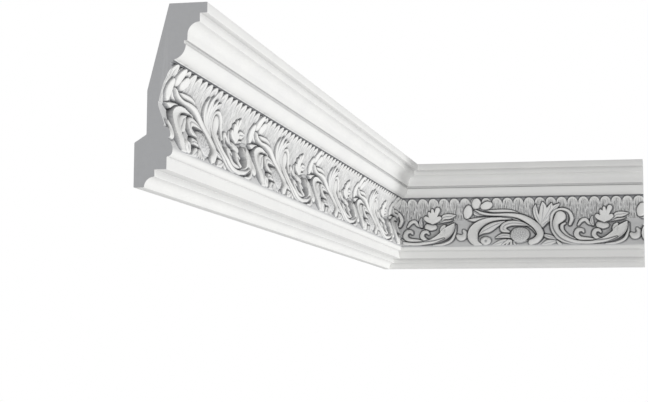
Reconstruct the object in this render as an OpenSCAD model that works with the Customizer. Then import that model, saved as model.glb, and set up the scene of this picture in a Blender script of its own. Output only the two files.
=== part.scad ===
// Carved cornice moulding for the corner between two walls and a ceiling.
// Two lengths, mitred at 45 degrees where the walls meet, each cut square at its outer end.
// The origin is the foot of the corner between the walls. Walls are the planes x = 0 and
// y = 0, the left length runs along -Y and the right length along +X, and +Z is up.
// In the section, p is the distance out from the wall and z is the height.

/* [Lengths] */
// Length of the left moulding along its wall
left_run = 1100; // [400:10:2000]
// Length of the right moulding along its wall
right_run = 382; // [200:1:2000]

/* [Section] */
// Height of the moulding, up to the ceiling
height = 150; // [125:1:200]
// Projection of the moulding along the ceiling
projection = 60; // [54:1:90]
// Height of the flat seat that lies on the wall
wall_seat = 36.5; // [26:0.5:44]
// Width of the flat seat that lies under the ceiling
ceiling_seat = 32.3; // [24:0.1:39]
// Thickness of the moulding behind the deepest line of the frieze
frieze_wall = 9.3; // [7.5:0.1:11.5]

/* [Foot mouldings] */
// Height of all the mouldings below the frieze
foot_height = 32; // [30:0.5:39]
// Radius of the hollow at the bottom edge
foot_hollow = 8.6; // [6:0.1:12]
// Height of the top of the first fillet
fillet_1_top = 14.4; // [13:0.1:18]
// Height of the top of the second fillet
fillet_2_top = 24.6; // [20:0.1:26]
// Width of the step between the two fillets
fillet_step = 10.1; // [8:0.1:12.5]
// Radius of the small rounded nose below the frieze
nose = 4.9; // [4:0.1:5.4]

/* [Frieze] */
// How far the deepest line of the frieze lies behind its edges
frieze_depth = 13; // [10.5:0.1:16]
// Height of the deepest line, as a share of the frieze's height
frieze_waist_share = 0.543; // [0.45:0.001:0.66]

/* [Head mouldings] */
// Height of all the mouldings above the frieze
head_height = 48; // [44:0.5:58]
// How far the convex moulding stands out from the frieze edge
ovolo_out = 9.8; // [8:0.1:10.5]
// Height of the convex moulding
ovolo_tall = 14; // [11.5:0.1:15]
// How far the neck above it stands out from the frieze edge
neck_out = 11.1; // [10:0.1:13]
// Radius of the upper hollow
crown_hollow = 10.2; // [8:0.1:12]
// Height of the fillet above the upper hollow
crown_fillet = 7.1; // [5.9:0.1:8.6]
// Height of the top fascia
fascia = 8.8; // [7.3:0.1:10.6]

/* [Carving] */
// Length of one repeat of the carved pattern
repeat = 250; // [200:5:300]
// Number of round-topped tongues in one repeat
tongues = 16; // [13:1:20]
// How far the tongues stand out from the ground
tongue_proud = 1.5; // [1:0.1:2]
// How far the leaves stand out from the ground
leaf_proud = 3; // [2.5:0.1:4.5]
// How far the scrolls stand out from the ground
scroll_proud = 5; // [4.6:0.1:7]
// Start of the first whole repeat, back from the corner, on the left length
left_phase = 215; // [0:1:250]

/* [Hidden] */
white = [0.93, 0.93, 0.92];

// Front line of the section
frieze_bottom = foot_height;
frieze_top = height - head_height;
crown_set = 6.2;
neck_front = projection - crown_set - crown_hollow;
frieze_edge = neck_front - neck_out;
frieze_deep = frieze_edge - frieze_depth;
frieze_waist = frieze_bottom + frieze_waist_share * (frieze_top - frieze_bottom);
crown_front = neck_front + crown_hollow;
fillet_2 = frieze_edge - nose;
fillet_1 = fillet_2 - fillet_step;
quirk = 1.6;
ovolo_set = 3;
ovolo_top = frieze_top + ovolo_tall;
neck_bottom = ovolo_top + 2 * quirk;
fascia_bottom = height - fascia;
neck_top = fascia_bottom - crown_fillet - crown_hollow;
splay_bend = 7;
splay_set = 1.3;

// Back line of the section
back_gap = frieze_deep - frieze_wall;
back_seat_rise = 6.5;
back_seat_top = wall_seat + back_seat_rise;
back_turn_rise = 9;
back_turn = frieze_waist + back_turn_rise;
// Cuts run past the faces that they open by this much
past = 1;

// Carving is rooted inside the moulding, this far behind the deepest line
root_p = frieze_deep - frieze_wall / 2;
// Nothing carved reaches further from the wall than this
carving_spare = 3.5;
carving_limit = frieze_edge + carving_spare;
tongue_gap = 0.7;
tongue_crown = frieze_top - tongue_gap;
tongue_lap = 0.2;
tongue_pitch = repeat / tongues;
carving_sink = 1.2;
carving_foot = frieze_bottom - carving_sink;
// Length of the repeat and span of the frieze, in the units that the outlines are drawn in
drawn_repeat = 250;
drawn_foot = 32;
drawn_span = 70;
// Steps in each stretch of a curved outline, in each side of a leaf, and sides of an oval
curve_steps = 2;
leaf_steps = 5;
oval_sides = 10;

// Radius of the hollow of the frieze, an arc that is upright at its deepest line
arc_rise = frieze_top - frieze_waist;
arc_r = (arc_rise * arc_rise + frieze_depth * frieze_depth) / (2 * frieze_depth);

// ---- curves ----

function blend4(a, b, c, d, t) =
    0.5 * (2 * b + (c - a) * t + (2 * a - 5 * b + 4 * c - d) * t * t
           + (3 * b - a - 3 * c + d) * t * t * t);

// A smooth curve through stations of [along, height, width]
function through(n, steps) =
    let (m = len(n) - 1)
    [for (i = [0 : m - 1], k = [0 : steps - 1])
        let (a = i == 0 ? 2 * n[0] - n[1] : n[i - 1],
             d = i == m - 1 ? 2 * n[m] - n[m - 1] : n[i + 2])
        blend4(a, n[i], n[i + 1], d, k / steps),
     n[m]];

function heading(c, i) =
    let (a = c[max(i - 1, 0)], b = c[min(i + 1, len(c) - 1)])
    atan2(b[1] - a[1], b[0] - a[0]);

function aside(q, angle, reach) = [q[0] + reach * cos(angle), q[1] + reach * sin(angle)];

// Outline of a band that follows stations, with a rounded start and end
function band(stations) =
    let (c = through(stations, curve_steps), m = len(c) - 1)
    concat([for (i = [0 : m]) aside(c[i], heading(c, i) + 90, c[i][2] / 2)],
           [aside(c[m], heading(c, m), c[m][2] / 2)],
           [for (i = [m : -1 : 0]) aside(c[i], heading(c, i) - 90, c[i][2] / 2)],
           [aside(c[0], heading(c, 0) + 180, c[0][2] / 2)]);

// Outline of a pointed leaf from one place to another, bowed to its left
function leaf(from, to, width, bow) =
    let (d = to - from, u = d / norm(d), v = [-u[1], u[0]], s = leaf_steps)
    concat([for (i = [0 : s]) from + d * i / s + v * (bow + width / 2) * sin(180 * i / s)],
           [for (i = [s - 1 : -1 : 1]) from + d * i / s + v * (bow - width / 2) * sin(180 * i / s)]);

// Outline of an oval
function oval(centre, long, wide, turn) =
    [for (i = [0 : oval_sides - 1]) let (a = 360 * i / oval_sides)
        centre + [long / 2 * cos(a) * cos(turn) - wide / 2 * sin(a) * sin(turn),
                  long / 2 * cos(a) * sin(turn) + wide / 2 * sin(a) * cos(turn)]];

// An outline in its place on the frieze, fitted to the real repeat and the real height
function fitted(outline) =
    [for (q = outline) [q[0] * repeat / drawn_repeat,
                        frieze_bottom + (q[1] - drawn_foot) * (frieze_top - frieze_bottom) / drawn_span]];

// ---- one repeat of the carving: along the wall from 0 to 250, and up from 32 to 102 ----

// Bands that stand proud as scrolls: stations of [along, height, width]
SCROLLS = [
    // spine of the C scroll, from its eye down and along to the broad leaf
    [[13, 73, 15], [6.5, 63, 9], [9, 53, 7], [17, 44, 6.5], [30, 37.5, 5.5], [47, 35, 5],
     [64, 36, 6], [80, 40, 9], [92, 47, 14], [98, 54, 16], [101, 60, 11]],
    // stem that rises from the petals, arches over and ends in a foot
    [[139, 85, 2], [151, 79.5, 4], [167, 77.6, 3.5], [185, 77.5, 4.5], [203, 75, 7],
     [218, 68, 9.5], [229, 59, 10], [234.5, 48, 10], [229.5, 39, 9], [221, 35, 8]],
    // broad leaf that curls under the stem
    [[149, 32.5, 2], [141, 36, 8], [136.5, 46, 14], [139, 56, 13], [147.5, 64, 10.5],
     [160, 69.5, 7], [175, 71.3, 4], [192, 71, 1.5]]
];

// Bands that stand proud as leaves
TENDRILS = [
    // outer rim of the C scroll
    [[26.5, 63, 4], [29.5, 72, 5.5], [25, 81, 4.5], [14, 84.5, 4], [3, 79, 4.5],
     [0.5, 67, 5], [3, 54, 6], [12, 41.5, 5.5], [26, 34.8, 3.5], [42, 32.5, 1.5]],
    // inner rim of the C scroll
    [[19, 63.5, 3], [16, 57, 5.5], [19, 49, 5], [27, 43, 4], [37, 39.5, 1.5]],
    // rim under the broad leaf
    [[78, 32, 1.5], [92, 33.5, 3.5], [104, 39, 4.5], [109, 49, 4.5], [110.5, 62, 2]],
    // two small curls that stand on the spine
    [[46, 52, 3], [39, 53, 6], [36.5, 46.5, 7], [42, 41, 6], [54, 39.5, 4], [66, 39, 2]],
    [[70, 51, 3], [64.5, 52, 5], [61.5, 46.5, 6.5], [66, 41.5, 5], [72, 39, 3]],
    // wavy spray above the curls
    [[39, 61, 3], [43, 67, 4.5], [49, 69, 4.5], [54.5, 64.5, 4.5], [61, 61, 2]],
    // hooked leaf over the flower head
    [[219, 60.8, 1], [207, 63.5, 5.5], [193, 65, 7], [183, 61.5, 8], [180.5, 55.5, 7],
     [188, 52, 3]],
    // comma
    [[113, 45.5, 5], [119, 44.5, 10], [124.5, 49, 8], [122.5, 55, 4]]
];

// Pointed leaves: from, to, width, bow
BLADES = [
    // sprays of the C scroll
    [[60, 61], [59, 75], 6, 0], [[86, 68], [111, 77.5], 8.5, 2],
    // slender leaf on the stem, and the blade and lobe that lie behind it
    [[154, 84], [202, 80], 5, 1], [[127, 71.5], [168, 75], 5.5, -2],
    [[144, 46], [185, 69], 12, 1],
    // leaves beneath the flower head
    [[176, 40.5], [195, 45], 5, 0], [[164, 31.5], [195, 40], 8, 1],
    [[179, 30.8], [191, 41], 3.5, 0], [[192, 30.8], [193.5, 40], 4, 0],
    // palmette
    [[235, 63], [226, 92], 8, 2], [[237, 62], [236, 95], 10, 0],
    [[237, 64], [258, 91], 11, 3], [[238, 64], [253, 76], 7, 2],
    // sprigs beside the foot of the stem
    [[240, 45.5], [265, 40], 6, 0], [[236, 31.5], [263, 39.5], 9, 1]
];

// Petals, lobes, bud and flower head: centre, length, width, turn
OVALS = [
    [[128.7, 82], 19, 14, 80], [[142, 93.4], 15, 13.5, 60], [[156.7, 90.6], 17, 11.5, 15],
    [[70, 71.5], 16, 8, 155], [[72.5, 76], 14, 7, 115], [[76.5, 79], 14, 7, 90],
    [[81, 80], 18, 8, 67], [[81, 71.5], 16, 8, 28], [[74, 60.8], 18, 10.5, 0],
    [[155.5, 38.6], 16, 13, 0], [[205.3, 47.5], 29, 23, 0]
];

module scroll_outlines() {
    for (s = SCROLLS) polygon(fitted(band(s)));
}

module leaf_outlines() {
    for (s = TENDRILS) polygon(fitted(band(s)));
    for (b = BLADES) polygon(fitted(leaf(b[0], b[1], b[2], b[3])));
    for (o = OVALS) polygon(fitted(oval(o[0], o[1], o[2], o[3])));
}

// Row of round-topped tongues along the top of the frieze, from one count of repeats to
// another, each centred on a multiple of the pitch
module tongue_row(from, to) {
    r = tongue_pitch / 2 + tongue_lap;
    first = from * tongues;
    last = to * tongues;
    polygon(concat(
        [[last * tongue_pitch, frieze_waist], [first * tongue_pitch, frieze_waist]],
        [for (i = [first : last], a = [150 : -30 : 30])
            [i * tongue_pitch + r * cos(a), tongue_crown - r + r * sin(a)]]));
}

// ---- section, with p to the right and z up ----

// Space in front of the frieze ground, moved out by how far the carving stands proud
module frieze_hollow(proud) {
    translate([proud, 0]) {
        intersection() {
            translate([frieze_deep + arc_r, frieze_waist]) circle(r = arc_r, $fn = 96);
            translate([0, frieze_waist]) square([projection, arc_rise]);
        }
        polygon([[frieze_deep, frieze_waist],
                 [frieze_deep + splay_set, frieze_waist - splay_bend],
                 [frieze_edge, frieze_bottom], [projection + past, frieze_bottom],
                 [projection + past, frieze_waist]]);
    }
}

module hollow(p, z, r) {
    translate([p, z]) circle(r = r, $fn = 48);
}

// Everything behind the front line of the mouldings
module front_outline() {
    // foot: hollow and two fillets
    difference() {
        square([fillet_1, fillet_1_top]);
        hollow(fillet_1, 0, foot_hollow);
    }
    translate([0, fillet_1_top]) square([fillet_2, fillet_2_top - fillet_1_top]);
    // rounded nose under the frieze
    translate([0, fillet_2_top]) square([fillet_2, frieze_bottom - fillet_2_top]);
    hollow(fillet_2, fillet_2_top + nose, nose);
    translate([fillet_2, fillet_2_top + nose]) square([nose, frieze_bottom - fillet_2_top - nose]);
    // frieze and all that stands over it
    translate([0, frieze_bottom]) square([frieze_edge, height - frieze_bottom]);
    // convex moulding, with a quirk under it and over it
    intersection() {
        hollow(frieze_edge - ovolo_set, ovolo_top, ovolo_out + ovolo_set);
        translate([0, frieze_top + quirk]) square([projection, ovolo_tall - quirk]);
    }
    translate([0, ovolo_top]) square([frieze_edge + ovolo_out - quirk, 2 * quirk]);
    // neck, upper hollow, upper fillet and fascia
    translate([0, neck_bottom]) square([neck_front, height - neck_bottom]);
    difference() {
        translate([0, neck_top]) square([crown_front, height - neck_top]);
        hollow(crown_front, neck_top, crown_hollow);
    }
    translate([0, fascia_bottom]) square([projection, fascia]);
}

// Space behind the moulding, between the wall, the ceiling and its two seats
module back_space() {
    edge = projection - ceiling_seat;
    slope = back_seat_rise / back_gap;
    polygon([[-past, wall_seat - past * slope], [back_gap, back_seat_top],
             [back_gap, back_turn], [edge, height], [edge, height + past],
             [-past, height + past]]);
}

module section() {
    difference() {
        front_outline();
        frieze_hollow(0);
        back_space();
    }
}

// Section of the band that carving of one height is cut out of
module carving_band(proud) {
    difference() {
        translate([root_p, carving_foot])
            square([carving_limit - root_p, (tongue_crown + frieze_top) / 2 - carving_foot]);
        frieze_hollow(proud);
        back_space();
    }
}

// ---- lengths ----

// A section drawn out along +X from 0, standing out towards -Y
module along_right() {
    mirror([0, 1, 0]) rotate([90, 0, 90]) linear_extrude(right_run) children();
}

// A section drawn out along -Y from 0, standing out towards +X
module along_left() {
    rotate([90, 0, 0]) linear_extrude(left_run) children();
}

// An outline seen square on, carried out from its wall
module out_right() {
    rotate([90, 0, 0]) linear_extrude(projection) children();
}

module out_left() {
    rotate([90, 0, 90]) linear_extrude(projection) children();
}

// Whole repeats of an outline, from one count to another
module repeats(from, to) {
    for (i = [from : to - 1]) translate([i * repeat, 0]) children();
}

module left_length() {
    back = -ceil((left_run - left_phase) / repeat);
    color(white) intersection() {
        union() {
            along_left() section();
            intersection() {
                along_left() carving_band(tongue_proud);
                out_left() translate([-left_phase, 0]) tongue_row(back, 1);
            }
            intersection() {
                along_left() carving_band(leaf_proud);
                out_left() translate([-left_phase, 0]) repeats(back, 1) leaf_outlines();
            }
            intersection() {
                along_left() carving_band(scroll_proud);
                out_left() translate([-left_phase, 0]) repeats(back, 1) scroll_outlines();
            }
        }
        linear_extrude(height)
            polygon([[0, 0], [0, -left_run], [projection, -left_run], [projection, -projection]]);
    }
}

module right_length() {
    on = ceil(right_run / repeat);
    color(white) intersection() {
        union() {
            along_right() section();
            intersection() {
                along_right() carving_band(tongue_proud);
                out_right() tongue_row(0, on);
            }
            intersection() {
                along_right() carving_band(leaf_proud);
                out_right() repeats(0, on) leaf_outlines();
            }
            intersection() {
                along_right() carving_band(scroll_proud);
                out_right() repeats(0, on) scroll_outlines();
            }
        }
        linear_extrude(height)
            polygon([[0, 0], [projection, -projection], [right_run, -projection], [right_run, 0]]);
    }
}

left_length();
right_length();
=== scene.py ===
"""Carved cornice moulding in two mitred lengths: the look of its white primed foam."""

import math

import bmesh
import bpy
import numpy as np
from bpy.props import FloatProperty, FloatVectorProperty, IntProperty, PointerProperty
from mathutils import Matrix, Vector


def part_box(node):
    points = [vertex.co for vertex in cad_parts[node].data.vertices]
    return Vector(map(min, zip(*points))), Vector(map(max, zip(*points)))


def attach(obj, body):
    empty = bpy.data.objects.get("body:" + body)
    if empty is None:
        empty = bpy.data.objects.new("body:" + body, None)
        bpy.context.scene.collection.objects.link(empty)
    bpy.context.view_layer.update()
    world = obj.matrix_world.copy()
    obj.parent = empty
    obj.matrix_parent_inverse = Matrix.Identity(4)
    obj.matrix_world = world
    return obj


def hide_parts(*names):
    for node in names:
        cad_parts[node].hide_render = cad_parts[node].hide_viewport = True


bl_info = {
    "name": "Carved Cornice",
    "version": (1, 0, 0),
    "blender": (4, 5, 0),
    "location": "View3D > Sidebar > Cornice",
    "description": "Builds a carved cornice moulding for an inside corner, in two mitred lengths",
    "category": "Add Mesh",
}

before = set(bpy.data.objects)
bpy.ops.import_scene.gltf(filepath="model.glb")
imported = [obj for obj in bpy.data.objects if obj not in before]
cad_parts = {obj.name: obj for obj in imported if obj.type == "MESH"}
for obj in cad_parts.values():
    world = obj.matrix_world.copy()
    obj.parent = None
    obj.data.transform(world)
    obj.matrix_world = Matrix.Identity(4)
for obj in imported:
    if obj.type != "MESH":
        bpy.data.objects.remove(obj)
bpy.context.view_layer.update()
LEFT_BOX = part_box("left_length")
RIGHT_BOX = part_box("right_length")

MM = 0.001
HEIGHT = LEFT_BOX[1][2]
PROJECTION = LEFT_BOX[1][0]
LEFT_RUN = -LEFT_BOX[0][1]
RIGHT_RUN = RIGHT_BOX[1][0]


# ---- colours and nodes ----

def hex_rgb(text):
    """A colour written as sRGB hex, as linear red, green and blue."""
    parts = [int(text[i:i + 2], 16) / 255 for i in (1, 3, 5)]
    return tuple(c / 12.92 if c <= 0.04045 else ((c + 0.055) / 1.055) ** 2.4 for c in parts)


def add_node(tree, kind, settings=None, links=None, values=None):
    """Adds a node, sets its properties and sockets, and links other nodes' sockets into it. A
    socket is given by its name, or by its number where two have one name."""
    node = tree.nodes.new(kind)
    for name, value in (settings or {}).items():
        setattr(node, name, value)
    for name, value in (values or {}).items():
        node.inputs[name].default_value = value
    for name, source in (links or {}).items():
        tree.links.new(source, node.inputs[name])
    return node


# ---- the sizes and colours that a user would change ----

def length_prop(name, description, millimetres):
    """A length that is shown in the scene's units."""
    return FloatProperty(name=name, description=description, default=millimetres * MM,
                         min=0.0, unit="LENGTH", precision=4)


def colour_prop(name, description, text):
    """A colour whose default is written as sRGB hex."""
    return FloatVectorProperty(name=name, description=description, default=hex_rgb(text),
                               size=3, min=0.0, max=1.0, subtype="COLOR")


class SectionSizes(bpy.types.PropertyGroup):
    """Sizes of the moulding's section."""
    foot_height: length_prop("Foot height", "Height of the mouldings below the frieze", 32)
    head_height: length_prop("Head height", "Height of the mouldings above the frieze", 48)
    frieze_edge: length_prop("Frieze edge", "Distance of the frieze's edges from the wall", 32.5)
    frieze_depth: length_prop("Frieze depth", "How far the frieze is hollowed", 13)
    waist: length_prop("Waist", "Height of the deepest line above the frieze's foot", 38)
    quirk: length_prop("Quirk", "Height of the groove between the frieze and the head", 0.8)
    quirk_deep: length_prop("Quirk depth", "How deep that groove is cut", 0.9)
    wall_seat: length_prop("Wall seat", "Height of the flat seat on the wall", 36.5)
    ceiling_seat: length_prop("Ceiling seat", "Width of the flat seat under the ceiling", 32.3)
    arris: length_prop("Arris", "Softness of the outer edges, as the mould leaves them", 0.5)


class CarvingSizes(bpy.types.PropertyGroup):
    """Sizes of the carving."""
    repeat: length_prop("Repeat", "Length of one repeat of the pattern", 250)
    left_phase: length_prop("Left phase", "Start of the first whole repeat on the left", 215)
    tongues: IntProperty(name="Tongues", description="Tongues in one repeat", default=16, min=1)
    tongue_proud: length_prop("Tongue", "How far the tongues stand out", 1.7)
    reed_proud: length_prop("Reed", "How far the fine reeds stand out", 1.3)
    relief: FloatProperty(name="Relief", description="Scale of the carving's depth", default=0.72,
                          min=0.2, max=1.5)
    grain: length_prop("Grain", "Spacing of the points that the carving is cut from", 0.5)


class FinishColours(bpy.types.PropertyGroup):
    """Colours of the finish and of the stage."""
    primer: colour_prop("Primer", "White primer", "#EFEFED")
    # Painted shade: creases, recesses and outlines are turned to this colour in place of their shadow
    painted_shade: colour_prop("Primer in creases", "Primer where it lies thick", "#56575A")
    # Painted shade: this tint darkens the carving's ground in place of the shadow between its reeds and
    # forms
    ground: colour_prop("Ground", "Tint of the carving's ground over the primer", "#C4C5C9")
    foam: colour_prop("Foam", "Cut foam", "#C4C5C7")
    floor: colour_prop("Floor", "Pale floor", "#F2F2F0")


# ---- carving: one repeat, drawn along from 0 to 250 and up from 32 to 102, in millimetres ----

DRAWN_REPEAT = 250.0
DRAWN_FOOT = 32.0
DRAWN_TOP = 102.0

# How each form is cut: crown is how much it falls to its edges, vein the depth of a middle
# groove, lip the height of a raised edge, crease the depth of the cut around it
FORMS = {
    "bead": dict(crown=2.4, vein=0.0, lip=0.0, crease=2.0),
    "spine": dict(crown=3.4, vein=0.0, lip=0.0, crease=2.2),
    "petal": dict(crown=2.8, vein=0.0, lip=0.0, crease=1.6),
    "leaf": dict(crown=1.4, vein=1.0, lip=0.0, crease=1.6),
    "blade": dict(crown=1.8, vein=0.0, lip=0.0, crease=1.4),
    "broad": dict(crown=-0.7, vein=0.0, lip=1.1, crease=1.8),
    "curl": dict(crown=1.2, vein=0.0, lip=0.0, crease=1.6),
}

# Name, form, height, and strokes, each a list of stations (along, up, width)
CARVING = [
    ("frond_far", "leaf", 3.8, [[(194, 44, 4), (187, 46, 7), (179, 46, 6.5), (170, 43, 1.5)]]),
    ("frond_near", "leaf", 4.0, [[(192, 38.5, 4), (181, 37, 7.5), (172, 33.8, 6.5), (165, 31.5, 2)]]),
    ("wave", "curl", 3.8, [[(39, 61, 3), (43, 67, 5), (49, 69, 5), (54, 64, 5), (61, 60.5, 2)]]),
    ("bract", "leaf", 4.0, [[(60, 61, 3), (58, 67, 5.5), (59, 74, 1.5)]]),
    ("side_low", "blade", 3.4, [[(84, 67, 3), (92, 69, 4), (101, 70, 3), (106, 71, 1)]]),
    ("side_leaf", "leaf", 4.4, [[(87, 69.5, 3), (93, 75, 7), (101, 76, 7.5), (110.5, 77.5, 1)]]),
    ("oak_ball", "petal", 4.4, [[(69, 61, 10), (74, 60.5, 11.5), (79, 60, 8)]]),
    ("oak", "curl", 6.0, [
        [(76, 69, 8), (70, 71, 8), (66, 73.5, 7)],
        [(76, 70, 8), (73, 77, 7), (71, 81, 4.5)],
        [(76, 70, 8), (76.3, 79, 6), (76, 85, 4.5)],
        [(77, 70, 8), (81, 79, 6.5), (84, 85.5, 7.5)],
        [(76, 68.5, 8), (82, 71, 8), (86, 73.5, 6.5)],
    ]),
    ("sprig_low", "leaf", 4.4, [[(238, 32.5, 3), (246, 35, 8.5), (254, 37, 6), (263, 39, 1)]]),
    ("sprig_high", "leaf", 4.6, [[(241, 46, 4), (247, 44, 6), (256, 41.8, 4), (265, 40, 1)]]),
    ("drop", "petal", 4.0, [[(259, 37.5, 2.5), (262, 34, 4.5), (264.5, 32.8, 3)]]),
    ("palmette", "leaf", 6.4, [
        [(234, 64, 6), (229, 75, 7.5), (227, 84, 6.5), (228, 91.5, 1)],
        [(236, 62, 7), (237.5, 75, 11), (239, 86, 10), (238.5, 93.5, 3)],
        [(237, 64, 7), (243, 76, 12), (248.5, 85, 9), (251, 92, 2.5)],
        [(239, 66, 6), (247, 76, 10), (254.5, 85.5, 8), (262, 91.5, 2)],
        [(237, 60, 5), (243, 66, 4.5), (250, 69, 1.5)],
    ]),
    ("inner_rim", "bead", 4.6, [[(20, 64, 3), (15.5, 61, 5), (16, 53, 6), (24, 44.5, 5),
                                 (36, 39.5, 2)]]),
    ("rim", "bead", 6.0, [[(27, 62.5, 4.5), (29.5, 71.5, 6), (25, 81, 4.5), (14, 84.3, 4),
                           (3, 79, 4.5), (0.5, 68, 5), (3, 54, 6.2), (12, 41.5, 5.5),
                           (26, 34.8, 3.5), (42, 33, 1.5)]]),
    ("curl_far", "curl", 4.8, [[(46.5, 50.5, 3), (44.5, 53.5, 5), (38.5, 53, 6.5), (36.5, 46.5, 7.5),
                                (42, 41.2, 6), (54, 40, 4), (66, 39, 2)]]),
    ("curl_near", "curl", 5.4, [[(71, 50, 3), (68, 53, 5), (63, 52, 6), (61.5, 46, 6.5),
                                 (66, 41.5, 5), (72, 39, 3)]]),
    ("leaf_rim", "bead", 4.2, [[(78, 33, 1.5), (92, 34, 3.5), (104, 39.3, 4.5), (109, 49, 4.5),
                                (110.5, 63, 2)]]),
    ("c_leaf", "broad", 6.6, [
        [(62, 35.8, 4), (78, 39, 8), (91, 45.5, 13), (99, 52.5, 15), (104.5, 59, 9.5), (108, 65, 2)],
        [(92, 50, 7), (91.5, 57, 7.5), (94, 61.5, 4.5)],
    ]),
    ("spine", "spine", 7.4, [[(13, 73.5, 16.5), (6.5, 63.5, 9), (9, 53, 7), (17, 44, 6.5),
                              (30, 37.6, 5), (46, 35, 4.5), (62, 35.4, 4.5), (80, 38, 3),
                              (94, 42.5, 1.5)]]),
    ("comma", "petal", 3.6, [[(114, 46.5, 5.5), (118, 43.8, 9), (123, 45, 9), (125, 50, 7),
                              (122.5, 54.5, 4)]]),
    ("under", "bead", 4.2, [[(160, 74.2, 1), (178, 74, 3), (195, 71.8, 3.2), (210, 64.8, 3.2),
                             (222, 56.8, 2.6), (228, 49.5, 1.5)]]),
    ("lobe", "leaf", 4.6, [[(145, 47, 1), (151, 53, 7), (159, 57.5, 12.5), (169, 63, 9.5),
                            (184, 68.5, 1)]]),
    ("hook", "leaf", 5.6, [[(219, 60.8, 1), (207, 63.8, 6), (193, 65, 8), (183, 61.8, 9),
                            (180.5, 55.8, 8.5), (189, 51.8, 3)]]),
    ("fingers", "blade", 4.4, [
        [(189, 39.5, 3), (184, 35.5, 3.2), (180, 32.5, 2)],
        [(191, 39, 3), (188, 35.5, 3.2), (185.5, 32.3, 2)],
        [(193, 38.5, 3), (192.5, 35, 3.4), (192.5, 32, 2)],
        [(196, 37.5, 3), (197.5, 34.5, 3), (198.8, 32.3, 2)],
    ]),
    ("lip", "petal", 4.6, [[(196, 37.5, 1), (205, 37, 4.5), (216, 38.5, 1.5)]]),
    ("flower", "petal", 6.8, [[(202, 47.5, 21), (206, 47.5, 22), (209, 47.5, 20)]]),
    ("bud", "petal", 6.2, [[(153, 38.6, 10.5), (155.5, 38.6, 12.6), (158, 38.6, 11)]]),
    ("blade", "blade", 4.6, [[(127.5, 71.3, 1), (138, 70.5, 5.5), (150, 72.6, 3.5), (168, 74.9, 1)]]),
    ("broad_leaf", "broad", 4.2, [[(150, 33, 2), (141, 36, 9), (136.3, 45.5, 15), (138.5, 56, 14),
                                   (147, 64.3, 11), (160, 69.8, 7), (175, 71.6, 4), (192, 71, 1.5)]]),
    ("sliver", "blade", 5.0, [[(154, 84, 1), (165, 83, 3.8), (180, 82.8, 5), (192, 82.2, 4),
                               (202, 80.2, 1)]]),
    ("calyx", "leaf", 4.8, [[(136.5, 84, 1), (140, 80, 6), (147, 77.5, 3), (153, 76.3, 1)]]),
    ("stem", "spine", 7.4, [[(139, 85, 2), (150, 80, 4), (165, 77.7, 3.6), (185, 77.5, 4.8),
                             (203, 75, 7), (218, 68, 9.5), (229, 59, 10), (234.5, 48, 10),
                             (229.5, 39.5, 9.5), (221.5, 36, 8)]]),
    ("petal_low", "petal", 7.0, [[(127.3, 77, 10), (128.7, 81.8, 13.6), (130, 87, 9.5)]]),
    ("petal_high", "petal", 7.0, [[(140.5, 91.3, 11), (142, 93.6, 13.6), (143, 95.8, 10.5)]]),
    ("petal_right", "petal", 7.2, [[(151.5, 89.2, 8.5), (157, 90.8, 11.5), (161.5, 92, 8)]]),
]

# The rest of the carving's sizes are in the drawing's millimetres too
STATION_STEPS = 6        # stretches that a smooth path is cut into between stations
NARROWEST = 0.4          # least width of a stroke
MARGIN = 4.0             # how far past its outline a form changes what lies round it
FAR = 1e9                # further than any point of the carving
WALL_IN = 0.5            # how far a carved edge spreads inside its outline
WALL_OUT = 0.4           # how far it spreads outside
SKIRT = 1.5              # how far past its outline a form's own face still runs down
SKIRT_SLOPE = 2.0        # how steeply it does
CROWN_ROUND = 0.96       # roundness of a crown, where 1 is a half circle
CREASE_WIDE = 1.1        # width of the cut around a form
VEIN_WIDE = 0.55         # width of a leaf's middle groove
LIP_FROM, LIP_FULL = 0.72, 0.9     # shares of the half width where a raised edge starts and is full

FLOWER_CENTRE = (205.5, 47.5)
FLOWER_STRETCH = (1.22, 0.95)      # the head is wider than it is high
GOLDEN_ANGLE = math.radians(137.508)
SEEDS = 43
SEED_GAP = 1.66          # spacing of the seeds
SEED_SPREAD = 1.1        # square of a seed's width
SEED_TALL, SEED_BED = 1.1, 0.4     # height of a seed, and how far the bed below them sinks
BUD_CENTRE = (155.5, 38.6)
EYE_WIDE, EYE_DEEP = 1.9, 2.2      # the pit in the middle of the bud
RING_OUT, RING_WIDE, RING_TALL = 3.6, 0.8, 0.5      # the low ring round that pit

TONGUE_TOP = DRAWN_TOP - 0.4
TONGUE_PART = 92.0       # height at which the tongues part from each other
TONGUE_SINK = 0.35       # share of their height that they lose towards the foot of the reeds
SINK_TALL = 16.0         # height over which they lose it
RIM_IN, RIM_WIDE, RIM_TALL = 1.3, 0.75, 0.75        # the raised rim of a tongue
NOTCH_DEEP = 1.5         # cut between two tongue tops
REED_FOOT = 70.0         # height at which the reeds stop
REED_TOP = 95.0          # height at which they give way to a smooth tongue top
BROAD_REEDS, FINE_REEDS = 48, 69   # waves of the reeds in one repeat
FINE_SHARE = 0.7         # height of the fine reeds beside the broad ones
FINE_LEAN = 13.0         # height over which the fine reeds lean by one radian
BROAD_SWAY = 0.7         # how much of the sway the broad reeds take
SWAYS = ((0.9, 16, 7.0), (0.7, 37, -5.0))     # size, waves in one repeat, and height of a lean

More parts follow.
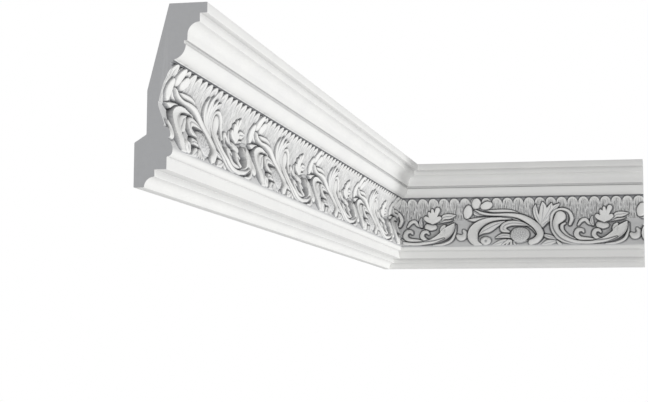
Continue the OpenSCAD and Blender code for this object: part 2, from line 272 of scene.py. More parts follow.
# Painted shade, standing in for the shadow in creases and between reeds. Up to 1 it takes the ground's
# tint, and from 1 to 2 the shade colour
GROUND_SHADE = 0.5       # on the smooth ground
VALLEY_SHADE = 0.85      # between two reeds
VALLEY_FALL = 0.5        # how much less there is on a reed's back
HEAD_UNSHADED = 0.85        # share of the painted shade left off a tongue's lit top
NOTCH_SHADE = 1.0        # between two tongue tops
TOP_SHADE = 1.5          # along the top of the frieze
TOP_LINE = 101.5         # height at which that starts
GROOVE_SHADE = 1.7       # in the groove above the frieze
VEIN_SHADE = 0.9         # in a leaf's middle groove
BED_SHADE = 0.7          # between the flower's seeds
EYE_SHADE, EYE_SHADE_WIDE = 1.5, 1.6    # in the bud's pit, and how wide
LINE_SHADE = 1.2         # a painted dark line along the foot of each form, for the shadow in its crease
LINE_OUT, LINE_WIDE = 0.35, 0.5    # how far outside the outline that lies, and how wide it is


def smooth(low, high, x):
    """0 below low, 1 above high, and an even S between them."""
    t = np.clip((x - low) / (high - low), 0.0, 1.0)
    return t * t * (3 - 2 * t)


def bell(x, wide):
    """1 where x is 0, falling evenly to nothing a few widths away."""
    return np.exp(-(x / wide) ** 2)


def smooth_path(stations):
    """Points along the smooth curve through a stroke's stations, as along, up and half width."""
    q = np.array(stations, float)
    q = np.vstack([2 * q[0] - q[1], q, 2 * q[-1] - q[-2]])
    t = (np.arange(STATION_STEPS) / STATION_STEPS)[:, None]
    parts = []
    for a, b, c, d in zip(q[:-3], q[1:-2], q[2:-1], q[3:]):
        parts.append(0.5 * (2 * b + (c - a) * t + (2 * a - 5 * b + 4 * c - d) * t ** 2
                            + (3 * b - a - 3 * c + d) * t ** 3))
    path = np.vstack(parts + [q[-2:-1]])
    path[:, 2] = np.maximum(path[:, 2], NARROWEST) / 2
    return path


def measure_stroke(path, along, up):
    """For each point: its distance from the path, the path's half width there, and how far along
    the path that is, from 0 to 1."""
    best = np.full(along.shape, FAR)
    wide = np.ones(along.shape)
    where = np.zeros(along.shape)
    count = len(path) - 1
    for i, (a, b) in enumerate(zip(path[:-1], path[1:])):
        dx, dz = b[0] - a[0], b[1] - a[1]
        square = max(dx * dx + dz * dz, 1 / FAR)
        t = np.clip(((along - a[0]) * dx + (up - a[1]) * dz) / square, 0.0, 1.0)
        ex, ez = along - a[0] - t * dx, up - a[1] - t * dz
        half = a[2] + t * (b[2] - a[2])
        score = np.hypot(ex, ez) - half
        near = score < best
        best = np.where(near, score, best)
        wide = np.where(near, half, wide)
        where = np.where(near, (i + t) / count, where)
    return best + wide, wide, where


def flower_seeds(along, up):
    """Seeds of the flower head, set on the spiral that real seeds follow."""
    seeds = np.zeros(along.shape)
    for i in range(1, SEEDS + 1):
        reach = SEED_GAP * math.sqrt(i)
        x = FLOWER_CENTRE[0] + FLOWER_STRETCH[0] * reach * math.cos(i * GOLDEN_ANGLE)
        z = FLOWER_CENTRE[1] + FLOWER_STRETCH[1] * reach * math.sin(i * GOLDEN_ANGLE)
        seeds = np.maximum(seeds, np.exp(-((along - x) ** 2 + (up - z) ** 2) / SEED_SPREAD))
    return seeds


def cut_form(name, form, height, measures, along, up):
    """Height of a form's surface, how far inside its outline each point lies, and how much shade
    is painted on it."""
    shape = FORMS[form]
    inside = np.full(along.shape, -FAR)
    top = np.full(along.shape, -FAR)
    form_shade = np.zeros(along.shape)
    for far, wide, where in measures:
        r = np.clip(far / wide, 0.0, 1.0)
        wall = wide - far
        face = height + shape["crown"] * (np.sqrt(1 - CROWN_ROUND * r * r) - 1)
        # Veins and raised edges die out at both ends of a stroke and where it is narrow
        fade = smooth(0.0, 0.15, where) * smooth(1.0, 0.8, where) * smooth(0.8, 2.0, wide)
        vein = shape["vein"] * fade * bell(far, VEIN_WIDE)
        face -= vein
        # Painted shade in a leaf's middle groove
        form_shade = np.where(wall > 0, np.maximum(form_shade, VEIN_SHADE * vein), form_shade)
        face += shape["lip"] * smooth(LIP_FROM, LIP_FULL, r) * fade
        skirt = np.minimum(wall, 0.0) * SKIRT_SLOPE
        top = np.where(wall > -SKIRT, np.maximum(top, face + skirt), top)
        inside = np.maximum(inside, wall)
    if name == "flower":
        # The seeds start a little inside the head's outline
        seeds = flower_seeds(along, up)
        full = smooth(0.5, 2.0, inside)
        top += SEED_TALL * seeds * full - SEED_BED
        # Painted shade between the seeds
        form_shade = BED_SHADE * (1 - seeds) * full
    if name == "bud":
        pit = np.hypot(along - BUD_CENTRE[0], up - BUD_CENTRE[1])
        top -= EYE_DEEP * bell(pit, EYE_WIDE) - RING_TALL * bell(pit - RING_OUT, RING_WIDE)
        # Painted shade in the bud's pit
        form_shade = EYE_SHADE * bell(pit, EYE_SHADE_WIDE)
    return top, inside, form_shade


def carve_repeat(sizes, ups, columns):
    """Heights of one repeat of the carving, in millimetres, for each up and each column, and how
    much shade is painted there, from 0 to 2."""
    step = DRAWN_REPEAT / columns
    along, up = np.meshgrid(np.arange(columns) * step, ups)
    relief, shaded = tongue_row(sizes, along, up)
    for name, form, height, strokes in CARVING:
        paths = [smooth_path(s) for s in strokes]
        every = np.vstack(paths)
        reach = every[:, 2].max() + MARGIN
        first = int((every[:, 0].min() - reach) / step)
        last = int((every[:, 0].max() + reach) / step)
        cols = np.arange(first, last + 1)
        rows = np.where((ups > every[:, 1].min() - reach) & (ups < every[:, 1].max() + reach))[0]
        if not len(rows):
            continue
        a, u = np.meshgrid(cols * step, ups[rows])
        measures = [measure_stroke(p, a, u) for p in paths]
        top, inside, form_shade = cut_form(name, form, height * sizes.relief, measures, a, u)
        place = np.ix_(rows, cols % columns)
        old = relief[place]
        mask = smooth(-WALL_OUT, WALL_IN, inside)
        outside = np.minimum(inside + WALL_OUT, 0.0)
        old = old - FORMS[form]["crease"] * bell(outside, CREASE_WIDE) * (1 - mask)
        relief[place] = old * (1 - mask) + top * mask
        # Painted shade: a dark line round the foot of each form, for the shadow in its crease
        line = LINE_SHADE * bell(inside + LINE_OUT, LINE_WIDE)
        shaded[place] = np.maximum(shaded[place] * (1 - mask) + form_shade * mask, line)
    return relief, shaded


def reed_waves(along, up):
    """Height of the uneven reeds, from 0 in their valleys: broad and fine ridges that sway as they
    rise, so that no two are the same."""
    turn = 2 * math.pi * along / DRAWN_REPEAT
    sway = sum(size * np.sin(turn * waves + up / lean) for size, waves, lean in SWAYS)
    broad = np.abs(np.sin(turn * BROAD_REEDS + BROAD_SWAY * sway))
    return broad + FINE_SHARE * np.abs(np.sin(turn * FINE_REEDS - sway + up / FINE_LEAN))


def tongue_row(sizes, along, up):
    """The row of round-topped tongues with reeds that run down from them: its height over the
    ground, and how much shade is painted on it."""
    pitch = DRAWN_REPEAT / sizes.tongues
    half = pitch / 2
    off = (along + half) % pitch - half
    arch = half - np.hypot(off, np.maximum(up - (TONGUE_TOP - half), 0.0))
    proud = sizes.tongue_proud / MM
    body = np.maximum(smooth(-0.5, 0.4, arch), smooth(TONGUE_PART + 1.5, TONGUE_PART - 0.5, up))
    rim = RIM_TALL * bell(arch - RIM_IN, RIM_WIDE) * smooth(TONGUE_PART - 2, TONGUE_PART + 3, up)
    fine = reed_waves(along, up)
    reeded = np.maximum(smooth(1.6, 3.6, arch), smooth(TONGUE_PART + 1, TONGUE_PART - 2, up))
    reeds = (fine - 1.0) * reeded * (sizes.reed_proud / MM)
    sunk = TONGUE_SINK * smooth(REED_FOOT + SINK_TALL, REED_FOOT, up)
    cut = smooth(REED_FOOT - 0.4, REED_FOOT + 0.4, up)
    parted = smooth(TONGUE_PART, TONGUE_PART + 3, up)
    notch = NOTCH_DEEP * smooth(0.6, -0.3, arch) * parted
    height = (body * proud * (1 - sunk) + rim + reeds) * cut - notch
    head = smooth(REED_TOP - 1.0, REED_TOP + 1.5, up) * smooth(-0.2, 0.5, arch)
    # Painted shade in the reed valleys and on the ground below them, less on the lit tongue tops, more
    # in the notches and along the top
    valley = np.maximum(VALLEY_SHADE - VALLEY_FALL * fine, 0)
    shaded = np.where(up < REED_FOOT, GROUND_SHADE, valley) * (1 - HEAD_UNSHADED * head)
    shaded = np.maximum(shaded, NOTCH_SHADE * smooth(0.3, -0.4, arch) * parted)
    return height, np.maximum(shaded, TOP_SHADE * smooth(TOP_LINE, TOP_LINE + 0.3, up))


# ---- section ----

OVOLO_OUT = 9.8 * MM         # how far the ovolo stands out past the edge of the frieze
OVOLO_TALL = 14 * MM
OVOLO_SET = 3 * MM           # how far behind the edge of the frieze its arc is centred
LIP_TALL = 1.6 * MM          # how far above the frieze its arc ends; the neck is twice as high
CROWN_SET = 6.2 * MM         # how far the crown stands back from the fascia
CROWN_HOLLOW = 10.2 * MM
CROWN_FILLET = 7.1 * MM
FASCIA = 8.8 * MM
NOSE = 4.9 * MM
UPPER_FILLET = 24.6 * MM     # height of the top of the upper fillet
LOWER_FILLET = 14.4 * MM     # height of the top of the lower one
FILLET_STEP = 10.1 * MM      # how far the lower fillet stands back from the upper one
FOOT_HOLLOW = 8.6 * MM
BACK_FOAM = 9.3 * MM         # foam between the frieze's deepest line and the back
SEAT_RISE = 6.5 * MM         # height over which the back slopes away from the wall seat
BACK_TURN = 9 * MM           # how far above the waist the back starts to slope to the ceiling
BEND_OUT, BEND_UP = 1.3 * MM, 7 * MM     # the ground's soft bend below its waist
GROUND_STEPS = 2000          # points that the ground line is worked out at
HEAD_STEPS = 14              # facets of the ovolo, and of the hollow under the crown
FOOT_STEPS = 12              # facets of the hollow at the foot
NOSE_STEPS = 10


def arc(centre, radius, start, end, steps):
    """Points on an arc in the section, angles in degrees from straight out."""
    return [(centre[0] + radius * math.cos(math.radians(start + (end - start) * i / steps)),
             centre[1] + radius * math.sin(math.radians(start + (end - start) * i / steps)))
            for i in range(steps + 1)]


def moulding_outline(sizes):
    """The section from the top of the frieze round the head, the back and the foot to the
    bottom of the frieze, as points (out from the wall, up)."""
    edge, foot, top = sizes.frieze_edge, sizes.foot_height, HEIGHT - sizes.head_height
    groove_top = top + sizes.quirk
    back_gap = edge - sizes.frieze_depth - BACK_FOAM
    ovolo_top = top + OVOLO_TALL
    radius = OVOLO_OUT + OVOLO_SET
    dip = math.degrees(math.asin((OVOLO_TALL - LIP_TALL) / radius))
    ovolo_foot = edge - OVOLO_SET + radius * math.cos(math.radians(dip))
    neck = edge + OVOLO_OUT - LIP_TALL
    neck_top = ovolo_top + 2 * LIP_TALL
    crown = PROJECTION - CROWN_SET
    under_fascia = HEIGHT - FASCIA
    hollow_top = under_fascia - CROWN_FILLET
    upper = edge - NOSE
    lower = upper - FILLET_STEP

    points = [(edge - sizes.quirk_deep, groove_top), (ovolo_foot, groove_top)]
    points += arc((edge - OVOLO_SET, ovolo_top), radius, -dip, 0, HEAD_STEPS)
    points += [(neck, ovolo_top), (neck, neck_top), (crown - CROWN_HOLLOW, neck_top)]
    points += arc((crown, hollow_top - CROWN_HOLLOW), CROWN_HOLLOW, 180, 90, HEAD_STEPS)
    points += [(crown, under_fascia), (PROJECTION, under_fascia), (PROJECTION, HEIGHT),
               (PROJECTION - sizes.ceiling_seat, HEIGHT), (back_gap, foot + sizes.waist + BACK_TURN),
               (back_gap, sizes.wall_seat + SEAT_RISE), (0, sizes.wall_seat), (0, 0)]
    points += arc((lower, 0), FOOT_HOLLOW, 180, 90, FOOT_STEPS)
    points += [(lower, LOWER_FILLET), (upper, LOWER_FILLET)]
    points += arc((upper, UPPER_FILLET + NOSE), NOSE, -90, 0, NOSE_STEPS)
    return points


def ground_line(sizes, spacing):
    """The frieze's ground from bottom to top at even spacing: out from the wall, and up."""
    edge, foot, top = sizes.frieze_edge, sizes.foot_height, HEIGHT - sizes.head_height
    deep, waist = edge - sizes.frieze_depth, foot + sizes.waist
    rise = top - waist
    radius = (rise ** 2 + sizes.frieze_depth ** 2) / (2 * sizes.frieze_depth)
    up = np.linspace(foot, top, GROUND_STEPS)
    hollow = deep + radius - np.sqrt(radius ** 2 - np.clip(up - waist, 0, rise) ** 2)
    slope = (edge - deep - BEND_OUT) / (waist - BEND_UP - foot)
    below = np.clip(waist - up, 0, None)
    bend = np.minimum(below, BEND_UP)
    splay = deep + BEND_OUT * (bend / BEND_UP) ** 2 + slope * np.clip(below - BEND_UP, 0, None)
    out = np.where(up >= waist, hollow, splay)
    walk = np.concatenate([[0], np.cumsum(np.hypot(np.diff(out), np.diff(up)))])
    even = np.linspace(0, walk[-1], int(walk[-1] / spacing) + 1)
    return np.interp(even, walk, out), np.interp(even, walk, up)


# ---- mesh ----

SHARP_EDGE = math.radians(40)      # edges that turn more than this are softened
SMOOTH_ANGLE = math.radians(42)    # edges that turn less than this are shaded smooth
SOFT_STEPS = 3                     # facets of a softened edge
SPARE_GRAINS = 4                   # grains that a length is made too long by, before it is cut
SAME_LEVEL = 0.15 * MM             # points closer in height than this are on one edge,
SAME_DEPTH = 0.3 * MM              # if they are no further apart in depth than this
SAME_PLANE = 0.01 * MM
SAME_POINT = 0.001 * MM
GROOVE_BELOW = 0.5 * MM            # how far below the groove's upper edge shade is painted, and how far above it
GROOVE_ABOVE = 0.3 * MM            # and how far above it
FOOT_FADE = 1.3                    # millimetres over which the carving rises from its foot,
TOP_FADE = 0.4                     # and over which it ends at its top
SHALLOW_FADE = 12                  # millimetres over which it reaches its full depth
SHALLOWEST = 0.4                   # share of that depth at the foot
LEFT_TRIANGLES, RIGHT_TRIANGLES = 186000, 150000     # most triangles of each carved band


def start_mesh():
    """Deselects everything, so that the next primitive is all that is selected."""
    if bpy.context.mode != "OBJECT":
        bpy.ops.object.mode_set(mode="OBJECT")
    bpy.ops.object.select_all(action="DESELECT")


def get_points(obj):
    """Places of a mesh's points, one row each."""
    points = np.empty(3 * len(obj.data.vertices), np.float32)
    obj.data.vertices.foreach_get("co", points)
    return points.reshape(-1, 3)


def set_points(obj, points):
    """Moves a mesh's points to the places given, one row each."""
    obj.data.vertices.foreach_set("co", np.asarray(points, np.float32).ravel())
    obj.data.update()


def placed(side, along, out, up):
    """Points of a length in the frame: the right one runs along +X, the left one along -Y."""
    if side == "left":
        return np.stack([out, along, up], -1)
    return np.stack([along, -out, up], -1)


def make_mouldings(side, sizes, start, end):
    """The plain mouldings and the back, as one skin that is open at the frieze."""
    outline = moulding_outline(sizes)
    start_mesh()
    bpy.ops.mesh.primitive_circle_add(vertices=len(outline), fill_type="NOTHING")
    obj = bpy.context.active_object
    out, up = np.array(outline).T
    set_points(obj, placed(side, np.full(len(out), start), out, up))
    bpy.ops.object.mode_set(mode="EDIT")
    bpy.ops.mesh.select_all(action="DESELECT")
    bm = bmesh.from_edit_mesh(obj.data)
    bm.verts.ensure_lookup_table()
    gap = bm.edges.get((bm.verts[0], bm.verts[len(outline) - 1]))
    bmesh.ops.delete(bm, geom=[gap], context="EDGES_FACES")
    bmesh.update_edit_mesh(obj.data)
    bpy.ops.mesh.select_all(action="SELECT")
    travel = Vector(placed(side, end - start, 0.0, 0.0))
    bpy.ops.mesh.extrude_region_move(TRANSFORM_OT_translate={"value": travel})
    bpy.ops.mesh.select_all(action="DESELECT")
    bm = bmesh.from_edit_mesh(obj.data)
    for edge in bm.edges:
        if len(edge.link_faces) == 2 and edge.calc_face_angle() > SHARP_EDGE:
            edge.select_set(True)
    bmesh.update_edit_mesh(obj.data)
    bpy.ops.mesh.bevel(offset=sizes.arris, segments=SOFT_STEPS, profile=0.5)
    bpy.ops.object.mode_set(mode="OBJECT")
    return obj


def make_frieze(side, sizes, carving, start, end, phase, most):
    """The carved band: a fine grid laid on the ground line, raised by the carving and thinned to
    the most triangles allowed. A point attribute on it carries the shade painted on the carving."""
    out, up = ground_line(sizes, carving.grain)
    columns = round(carving.repeat / carving.grain)
    drawn = DRAWN_FOOT + (up - up[0]) / (up[-1] - up[0]) * (DRAWN_TOP - DRAWN_FOOT)
    relief, shaded = carve_repeat(carving, drawn, columns)
    relief *= MM
    foot_fade = smooth(DRAWN_FOOT, DRAWN_FOOT + FOOT_FADE, drawn)
    top_fade = smooth(DRAWN_TOP, DRAWN_TOP - TOP_FADE, drawn)
    risen = smooth(DRAWN_FOOT, DRAWN_FOOT + SHALLOW_FADE, drawn)
    shallow = SHALLOWEST + (1 - SHALLOWEST) * risen
    relief *= (foot_fade * top_fade * shallow)[:, None]
    # At its top the ground steps back into the groove
    out = out - sizes.quirk_deep * smooth(DRAWN_TOP - 1.0, DRAWN_TOP - 0.5, drawn)
    count = round((end - start) / carving.grain) + 1
    along = start + np.arange(count) * carving.grain
    pick = np.round((along + phase) / carving.grain).astype(int) % columns
    relief, shaded = relief[:, pick], shaded[:, pick]
    start_mesh()
    bpy.ops.mesh.primitive_grid_add(x_subdivisions=count - 1, y_subdivisions=len(up) - 1)
    obj = bpy.context.active_object
    a, o = np.meshgrid(along, out)
    u = np.meshgrid(along, up)[1]
    set_points(obj, placed(side, a, o + relief, u).reshape(-1, 3))
    thin = obj.modifiers.new("Thin", "DECIMATE")
    thin.ratio = min(1.0, most / (2 * (count - 1) * (len(up) - 1)))
    bpy.ops.object.modifier_apply(modifier=thin.name)
    write_painted_shade(obj, get_points(obj)[:, 1 if side == "left" else 0], along, up, shaded)
    return obj


def write_painted_shade(obj, where, along, up, shaded):
    """Writes the painted shade as a point attribute, from the nearest place in the grid.
    It is written after the thinning, which would blur it."""
    rows = np.round(np.interp(get_points(obj)[:, 2], up, np.arange(len(up)))).astype(int)
    cols = np.round(np.interp(where, along, np.arange(len(along)))).astype(int)
    layer = obj.data.attributes.new("shaded", "FLOAT", "POINT")
    layer.data.foreach_set("value", shaded[rows, cols].astype(np.float32))


def close_strip(bm, side, depth, band_edge, other_edge):
    """Joins the carved band to the mouldings with one narrow flat face at this depth, between the
    heights of its two long edges."""
    axis = 1 if side == "left" else 0
    across = 1 - axis
    line = []
    ends = []
    for vert in bm.verts:
        if not vert.is_boundary:
            continue
        if abs(abs(vert.co[across]) - depth) > SAME_DEPTH:
            continue
        if abs(vert.co.z - band_edge) < SAME_LEVEL:
            line.append(vert)
        elif abs(vert.co.z - other_edge) < SAME_LEVEL:
            ends.append(vert)
    line.sort(key=lambda v: v.co[axis])
    ends.sort(key=lambda v: -v.co[axis])
    bm.faces.new(line + ends)


def cut_off(point, normal):
    """Cuts the active length off at a plane and closes the cut."""
    bpy.ops.object.mode_set(mode="EDIT")
    bpy.ops.mesh.select_all(action="SELECT")
    bpy.ops.mesh.bisect(plane_co=point, plane_no=normal, use_fill=True, clear_outer=True,
                        threshold=SAME_POINT / 10)
    bpy.ops.object.mode_set(mode="OBJECT")


def make_length(side, node, most):
    """One whole length of moulding: mouldings, carved frieze, mitre and square end."""
    scene = bpy.context.scene
    sizes, carving = scene.cornice_section, scene.cornice_carving
    spare = SPARE_GRAINS * carving.grain
    if side == "left":
        start, end, phase = -LEFT_RUN - spare, spare, carving.left_phase
        end_point, end_normal, mitre_normal = (0, -LEFT_RUN, 0), (0, -1, 0), (1, 1, 0)
    else:
        start, end, phase = -spare, RIGHT_RUN + spare, 0.0
        end_point, end_normal, mitre_normal = (RIGHT_RUN, 0, 0), (1, 0, 0), (-1, -1, 0)
    mouldings = make_mouldings(side, sizes, start, end)
    frieze = make_frieze(side, sizes, carving, start, end, phase, most)
    start_mesh()
    mouldings.select_set(True)
    frieze.select_set(True)
    bpy.context.view_layer.objects.active = frieze
    bpy.ops.object.join()
    obj = bpy.context.active_object
    obj.name = node
    bpy.ops.object.mode_set(mode="EDIT")
    bm = bmesh.from_edit_mesh(obj.data)
    top = HEIGHT - sizes.head_height
    close_strip(bm, side, sizes.frieze_edge, sizes.foot_height, UPPER_FILLET + NOSE)
    close_strip(bm, side, sizes.frieze_edge - sizes.quirk_deep, top, top + sizes.quirk)
    bmesh.update_edit_mesh(obj.data)
    bpy.ops.object.mode_set(mode="OBJECT")
    cut_off(end_point, end_normal)
    cut_off((0, 0, 0), mitre_normal)
    bpy.ops.object.mode_set(mode="EDIT")
    bpy.ops.mesh.select_all(action="SELECT")
    bpy.ops.mesh.remove_doubles(threshold=SAME_POINT)
    bpy.ops.mesh.normals_make_consistent(inside=False)
    bpy.ops.object.mode_set(mode="OBJECT")
    bpy.ops.object.shade_smooth_by_angle(angle=SMOOTH_ANGLE)
    darken_quirk(obj, top + sizes.quirk)
    finish_length(obj, node, end_point, end_normal)


def darken_quirk(obj, level):
    """Paints shade along the upper edge of the groove between frieze and head, for the shadow under the
    ovolo.
    """
    layer = obj.data.attributes["shaded"]
    values = np.empty(len(obj.data.vertices), np.float32)
    layer.data.foreach_get("value", values)
    rise = get_points(obj)[:, 2] - level
    values[(rise > -GROOVE_BELOW) & (rise < GROOVE_ABOVE)] = GROOVE_SHADE
    layer.data.foreach_set("value", values)


def finish_length(obj, node, end_point, end_normal):
    """Gives a length its finishes, with bare foam on both its cut ends, and ties it to the frame."""
    obj.data.materials.clear()
    obj.data.materials.append(primed_foam())
    obj.data.materials.append(cut_foam())
    for face in obj.data.polygons:
        square = abs((face.center - Vector(end_point)).dot(Vector(end_normal))) < SAME_PLANE
        mitre = abs(face.center.x + face.center.y) < SAME_PLANE
        if square or mitre:
            face.material_index = 1
    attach(obj, "root")
    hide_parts(node)


# ---- finishes ----

# Widths, depths and reach in millimetres
CLOUD_WIDE = 45.5        # clouding left by the spray's passes
PEEL_WIDE = 2.38         # dimples of the orange peel
PEEL_DEEP = 0.4
CELL_WIDE = 1.11         # foam cells are about 0.3 mm, and are drawn coarser so that they show
CELL_DEEP = 0.3
SPECK_WIDE = 3.85        # patches of denser foam
CREASE_REACH = 14        # a surface nearer than this brings on the painted shade

DEEPEST, OPEN = -0.05, 0.90        # openness at which the painted shade is full, and at which there is none
CLOUD_TINT = "#FAFAFB"   # the darkest the clouding gets
WHITE = (1, 1, 1, 1)


def new_material(name):
    """A material and its emptied node tree, or the one made earlier and no tree."""
    material = bpy.data.materials.get(name)
    if material:
        return material, None
    material = bpy.data.materials.new(name)
    material.use_nodes = True
    tree = material.node_tree
    tree.nodes.clear()
    return material, tree


def per_size(millimetres):
    """The scale of a pattern whose features are this wide."""
    return 1 / (millimetres * MM)


def map_values(source, start, end, low, high):
    """Settings of a Map Range node that turns start to end of a source into low to high."""
    return {"links": {"Value": source},
            "values": {"From Min": start, "From Max": end, "To Min": low, "To Max": high}}


def primed_foam():
    """Moulded polyurethane foam under a sprayed white primer. It is an eggshell white: the spray
    leaves faint clouding and orange peel. Shade is painted into its creases and onto the carving."""
    colours = bpy.context.scene.cornice_colours
    material, tree = new_material("white_primer")
    if tree is None:
        return material
    place = add_node(tree, "ShaderNodeTexCoord")
    cloud = add_node(tree, "ShaderNodeTexNoise", links={"Vector": place.outputs["Object"]},
                     values={"Scale": per_size(CLOUD_WIDE), "Detail": 3.0, "Roughness": 0.55})
    drift = add_node(tree, "ShaderNodeValToRGB", links={"Fac": cloud.outputs["Fac"]})
    drift.color_ramp.elements[0].position = 0.3
    drift.color_ramp.elements[0].color = (*hex_rgb(CLOUD_TINT), 1)
    drift.color_ramp.elements[1].position = 0.7
    drift.color_ramp.elements[1].color = WHITE
    # Painted shade: ambient occlusion turns the primer towards the shade colour in creases and recesses
    hollow = add_node(tree, "ShaderNodeAmbientOcclusion",
                      settings={"samples": 8, "only_local": True},
                      values={"Distance": CREASE_REACH * MM, "Color": WHITE})
    depth = add_node(tree, "ShaderNodeMapRange",
                     **map_values(hollow.outputs["AO"], DEEPEST, OPEN, 1.0, 0.0))
    tone = add_node(tree, "ShaderNodeMix", settings={"data_type": "RGBA"},
                    links={"Factor": depth.outputs["Result"]},
                    values={"A": (*colours.primer, 1), "B": (*colours.painted_shade, 1)})
    # Painted shade from the point attribute: the ground's tint up to 1, and the shade colour from 1 to 2
    shaded = add_node(tree, "ShaderNodeAttribute", settings={"attribute_name": "shaded"})
    low = add_node(tree, "ShaderNodeMix", settings={"data_type": "RGBA", "blend_type": "MULTIPLY"},
                   links={"Factor": shaded.outputs["Fac"], "A": tone.outputs["Result"]},
                   values={"B": (*colours.ground, 1)})
    crease = add_node(tree, "ShaderNodeMapRange", **map_values(shaded.outputs["Fac"], 1.0, 2.0, 0.0, 1.0))
    lined = add_node(tree, "ShaderNodeMix", settings={"data_type": "RGBA"},
                     links={"Factor": crease.outputs["Result"], "A": low.outputs["Result"]},
                     values={"B": (*colours.painted_shade, 1)})
    colour = add_node(tree, "ShaderNodeMix", settings={"data_type": "RGBA", "blend_type": "MULTIPLY"},
                      links={"A": lined.outputs["Result"], "B": drift.outputs["Color"]},
                      values={"Factor": 1.0})
    peel = add_node(tree, "ShaderNodeTexNoise", links={"Vector": place.outputs["Object"]},
                    values={"Scale": per_size(PEEL_WIDE), "Detail": 2.0, "Roughness": 0.5})
    bump = add_node(tree, "ShaderNodeBump", links={"Height": peel.outputs["Fac"]},
                    values={"Strength": 0.12, "Distance": PEEL_DEEP * MM})
    gloss = add_node(tree, "ShaderNodeMapRange",
                     **map_values(cloud.outputs["Fac"], 0.3, 0.7, 0.60, 0.70))
    shader = add_node(tree, "ShaderNodeBsdfPrincipled",
                      links={"Base Color": colour.outputs["Result"],
                             "Roughness": gloss.outputs["Result"], "Normal": bump.outputs["Normal"]},
                      values={"IOR": 1.47})
    add_node(tree, "ShaderNodeOutputMaterial", links={"Surface": shader.outputs["BSDF"]})
    return material


def cut_foam():
    """Bare rigid foam where a saw went through: a dull grey face with fine open cells."""
    colours = bpy.context.scene.cornice_colours
    material, tree = new_material("sawn_foam")
    if tree is None:
        return material
    place = add_node(tree, "ShaderNodeTexCoord")
    cells = add_node(tree, "ShaderNodeTexVoronoi", links={"Vector": place.outputs["Object"]},
                     values={"Scale": per_size(CELL_WIDE)})
    speck = add_node(tree, "ShaderNodeTexNoise", links={"Vector": place.outputs["Object"]},
                     values={"Scale": per_size(SPECK_WIDE), "Detail": 3.0})
    tint = add_node(tree, "ShaderNodeMapRange", **map_values(speck.outputs["Fac"], 0.3, 0.7, 0.97, 1.0))
    colour = add_node(tree, "ShaderNodeMix", settings={"data_type": "RGBA", "blend_type": "MULTIPLY"},
                      links={"B": tint.outputs["Result"]},
                      values={"Factor": 1.0, "A": (*colours.foam, 1)})
    bump = add_node(tree, "ShaderNodeBump", links={"Height": cells.outputs["Distance"]},
                    values={"Strength": 0.25, "Distance": CELL_DEEP * MM})
    shader = add_node(tree, "ShaderNodeBsdfPrincipled",
                      links={"Base Color": colour.outputs["Result"], "Normal": bump.outputs["Normal"]},
                      values={"Roughness": 0.85, "IOR": 1.47})
    add_node(tree, "ShaderNodeOutputMaterial", links={"Surface": shader.outputs["BSDF"]})
    return material


# ---- stage ----

CAMERA_PLACE = (0.42457, -2.26640, -0.13883)
CAMERA_TURN, CAMERA_TILT, CAMERA_ROLL = -12.8916, 5.9771, 0.3674    # degrees
CAMERA_LENS, SENSOR = 85.43, 36.0    # millimetres
NEAREST, FURTHEST = 0.05, 60         # metres that the camera sees between
FLOOR_LEVEL, FLOOR_SIZE = -2.6, 4
SKY_LIGHT = 0.36                     # strength of the even light from all round
KEY_SIDE = (0.88, 0.33, -0.33)       # to the right, and low, as light comes off a pale floor
KEY_POWER, KEY_SOFT = 1.65, 12       # watts per square metre, and degrees across
FILL_SIDE = (0.36, -0.78, -0.52)     # in front, a little to the right, and low
FILL_POWER, FILL_SOFT = 1.15, 6


def make_camera():
    """The camera, below the moulding and looking up into its corner."""
    yaw, pitch, roll = (math.radians(d) for d in (CAMERA_TURN, CAMERA_TILT, CAMERA_ROLL))
    ahead = Vector((math.sin(yaw) * math.cos(pitch), math.cos(yaw) * math.cos(pitch),
                    math.sin(pitch)))
    right = Vector((math.cos(yaw), -math.sin(yaw), 0))
    above = right.cross(ahead)
    right, above = (math.cos(roll) * right + math.sin(roll) * above,
                    math.cos(roll) * above - math.sin(roll) * right)
    bpy.ops.object.camera_add()
    camera = bpy.context.active_object
    camera.name = "camera"
    turn = Matrix((right, above, -ahead)).transposed().to_4x4()
    camera.matrix_world = Matrix.Translation(CAMERA_PLACE) @ turn
    camera.data.lens = CAMERA_LENS
    camera.data.sensor_width = SENSOR
    camera.data.clip_start = NEAREST
    camera.data.clip_end = FURTHEST
    bpy.context.scene.camera = camera


def make_floor():
    """A pale matt floor, far enough down to leave the light from below."""
    start_mesh()
    bpy.ops.mesh.primitive_plane_add(size=FLOOR_SIZE, location=(0, 0, FLOOR_LEVEL))
    floor = bpy.context.active_object
    floor.name = "floor"
    bpy.ops.object.transform_apply(location=True)
    material, tree = new_material("floor_paint")
    colours = bpy.context.scene.cornice_colours
    matt = add_node(tree, "ShaderNodeBsdfDiffuse", values={"Color": (*colours.floor, 1)})
    add_node(tree, "ShaderNodeOutputMaterial", links={"Surface": matt.outputs["BSDF"]})
    floor.data.materials.append(material)


def seen_rays(tree):
    """The socket that is 1 for rays that see the backdrop: from the camera, a gloss or a glass."""
    path = add_node(tree, "ShaderNodeLightPath")
    total = path.outputs["Is Camera Ray"]
    for name in ("Is Glossy Ray", "Is Transmission Ray"):
        either = add_node(tree, "ShaderNodeMath", settings={"operation": "MAXIMUM"},
                          links={0: total, 1: path.outputs[name]})
        total = either.outputs["Value"]
    return total


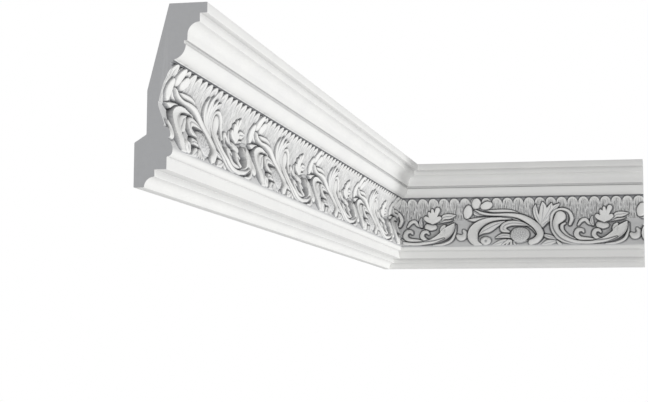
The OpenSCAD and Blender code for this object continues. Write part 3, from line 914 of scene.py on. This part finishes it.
def make_world():
    """An even sky that lights the object plainly and shows white behind it."""
    world = bpy.data.worlds.new("studio")
    bpy.context.scene.world = world
    world.use_nodes = True
    tree = world.node_tree
    tree.nodes.clear()
    seen = seen_rays(tree)
    light = add_node(tree, "ShaderNodeBackground", values={"Color": WHITE, "Strength": SKY_LIGHT})
    white = add_node(tree, "ShaderNodeBackground", values={"Color": WHITE, "Strength": 1.0})
    mix = add_node(tree, "ShaderNodeMixShader",
                   links={"Fac": seen, 1: light.outputs["Background"], 2: white.outputs["Background"]})
    add_node(tree, "ShaderNodeOutputWorld", links={"Surface": mix.outputs["Shader"]})


def add_sun(name, toward, strength, softness):
    """A distant soft lamp on the side named by toward."""
    bpy.ops.object.light_add(type="SUN")
    lamp = bpy.context.active_object
    lamp.name = name
    lamp.matrix_world = Vector(toward).to_track_quat("Z", "Y").to_matrix().to_4x4()
    lamp.data.energy = strength
    lamp.data.angle = math.radians(softness)


# ---- operators ----

class CORNICE_OT_left_length(bpy.types.Operator):
    """Build the long left length of the cornice"""
    bl_idname = "cornice.left_length"
    bl_label = "Left Length"

    def execute(self, context):
        make_length("left", "left_length", LEFT_TRIANGLES)
        return {"FINISHED"}


class CORNICE_OT_right_length(bpy.types.Operator):
    """Build the short right length of the cornice"""
    bl_idname = "cornice.right_length"
    bl_label = "Right Length"

    def execute(self, context):
        make_length("right", "right_length", RIGHT_TRIANGLES)
        return {"FINISHED"}


class CORNICE_OT_stage(bpy.types.Operator):
    """Set out the floor, the lamps and the camera"""
    bl_idname = "cornice.stage"
    bl_label = "Stage"

    def execute(self, context):
        make_floor()
        make_world()
        add_sun("key", KEY_SIDE, KEY_POWER, KEY_SOFT)
        add_sun("fill", FILL_SIDE, FILL_POWER, FILL_SOFT)
        make_camera()
        context.scene.view_settings.view_transform = "Standard"
        return {"FINISHED"}


class CORNICE_PT_panel(bpy.types.Panel):
    """Lists the steps that build the cornice"""
    bl_label = "Carved Cornice"
    bl_idname = "CORNICE_PT_panel"
    bl_space_type = "VIEW_3D"
    bl_region_type = "UI"
    bl_category = "Cornice"

    def draw(self, context):
        for group in (context.scene.cornice_section, context.scene.cornice_carving,
                      context.scene.cornice_colours):
            for name in group.__annotations__:
                self.layout.prop(group, name)
        for step in OPERATORS:
            self.layout.operator(step.bl_idname)


GROUPS = {"cornice_section": SectionSizes, "cornice_carving": CarvingSizes,
          "cornice_colours": FinishColours}
OPERATORS = (CORNICE_OT_left_length, CORNICE_OT_right_length, CORNICE_OT_stage)


def register():
    for kind in (*GROUPS.values(), *OPERATORS, CORNICE_PT_panel):
        bpy.utils.register_class(kind)
    for name, kind in GROUPS.items():
        setattr(bpy.types.Scene, name, PointerProperty(type=kind))


def unregister():
    for name in GROUPS:
        delattr(bpy.types.Scene, name)
    for kind in reversed((*GROUPS.values(), *OPERATORS, CORNICE_PT_panel)):
        bpy.utils.unregister_class(kind)


def main():
    """Builds the cornice and its stage."""
    register()
    bpy.ops.cornice.left_length()
    bpy.ops.cornice.right_length()
    bpy.ops.cornice.stage()


if __name__ == "__main__":
    main()
